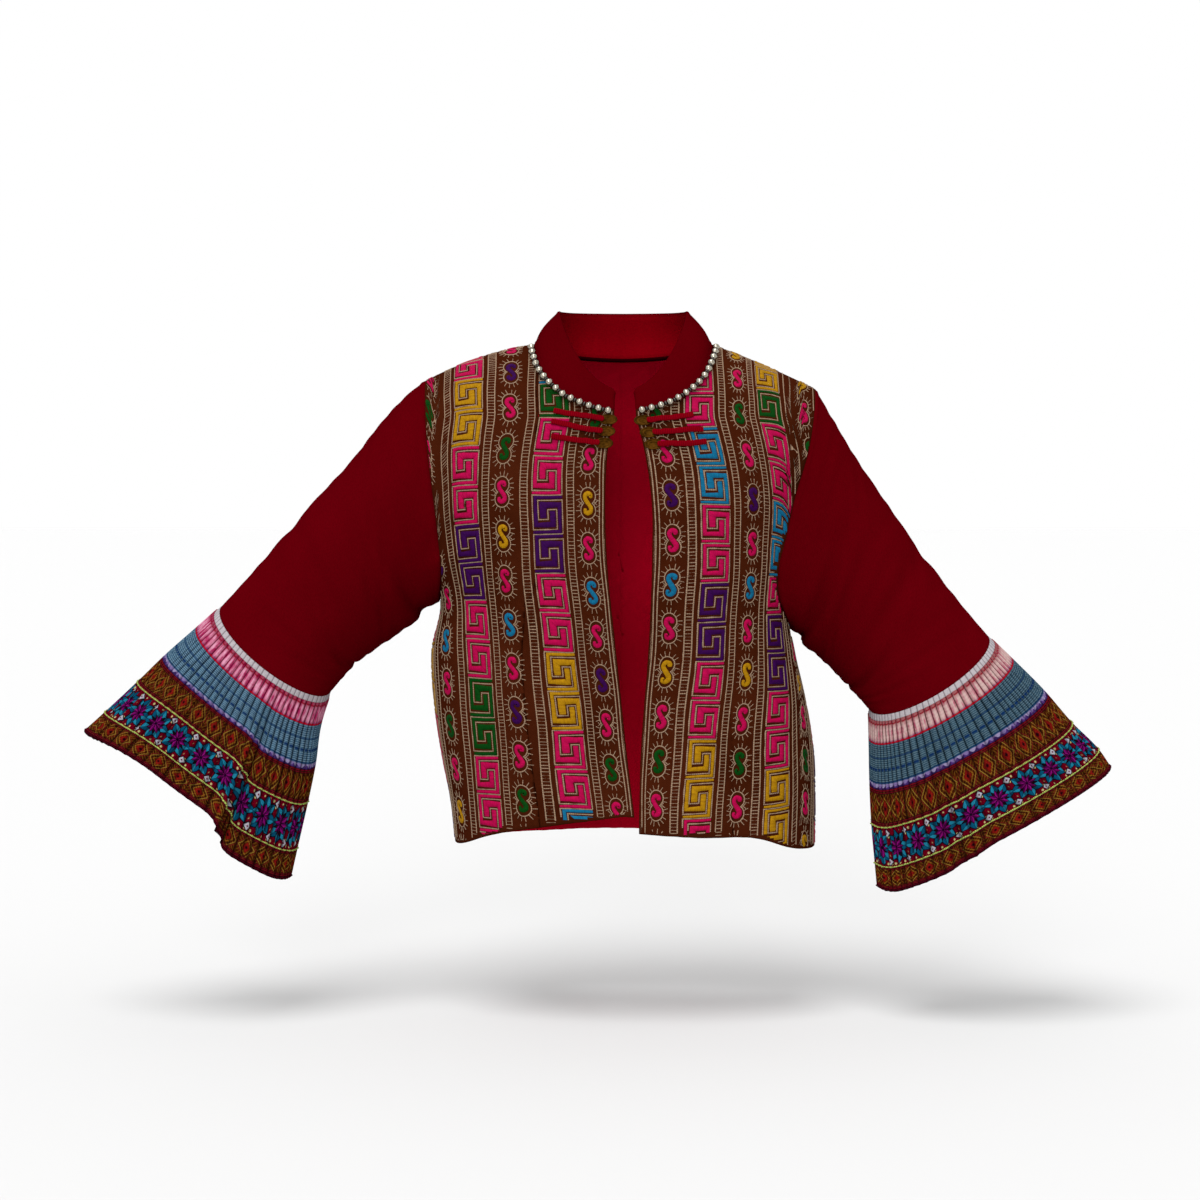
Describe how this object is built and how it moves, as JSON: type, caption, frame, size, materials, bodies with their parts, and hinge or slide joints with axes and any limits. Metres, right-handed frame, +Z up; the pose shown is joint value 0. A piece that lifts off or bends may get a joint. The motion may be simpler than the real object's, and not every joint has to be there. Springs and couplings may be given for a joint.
{
  "type": "hmong embroidered jacket",
  "caption": "Open-fronted short jacket with embroidered body, stand collar, plain sleeves and wide pleated cuffs, held out as worn.",
  "frame": {"origin": "midway between the two points where the neckline meets the shoulder seams, where the wearer's shoulders hold the jacket", "axes": "+Z up, the front faces -Y, +X towards the right as seen from the front (the wearer's left)"},
  "size_m": [1.1112, 0.2521, 0.6266],
  "materials": {
    "embroidered_cotton": "matte",
    "crimson_lining": "matte",
    "crimson_cotton": "matte",
    "white_tape": "matte",
    "pink_tie_dye": "matte",
    "blue_batik": "matte",
    "figured_border": "matte",
    "silver": "polished",
    "red_cord": "matte",
    "old_brass": "worn"
  },
  "bodies": {
    "root": {"front_left": "embroidered_cotton", "front_right": "embroidered_cotton", "back": "embroidered_cotton", "back_lining": "crimson_lining", "collar": "crimson_cotton", "sleeve_left": "crimson_cotton", "sleeve_right": "crimson_cotton", "cuff_tape_left": "white_tape", "cuff_tape_right": "white_tape", "cuff_pink_band_left": "pink_tie_dye", "cuff_pink_band_right": "pink_tie_dye", "cuff_batik_band_left": "blue_batik", "cuff_batik_band_right": "blue_batik", "cuff_border_left": "figured_border", "cuff_border_right": "figured_border", "bead_string_left": "silver", "bead_string_right": "silver", "tab_left_1": "red_cord", "tab_left_2": "red_cord", "tab_left_3": "red_cord", "tab_right_1": "red_cord", "tab_right_2": "red_cord", "tab_right_3": "red_cord", "disc_left_1": "old_brass", "disc_left_2": "old_brass", "disc_left_3": "old_brass", "disc_right_1": "old_brass", "disc_right_2": "old_brass", "disc_right_3": "old_brass"}
  },
  "joints": []
}
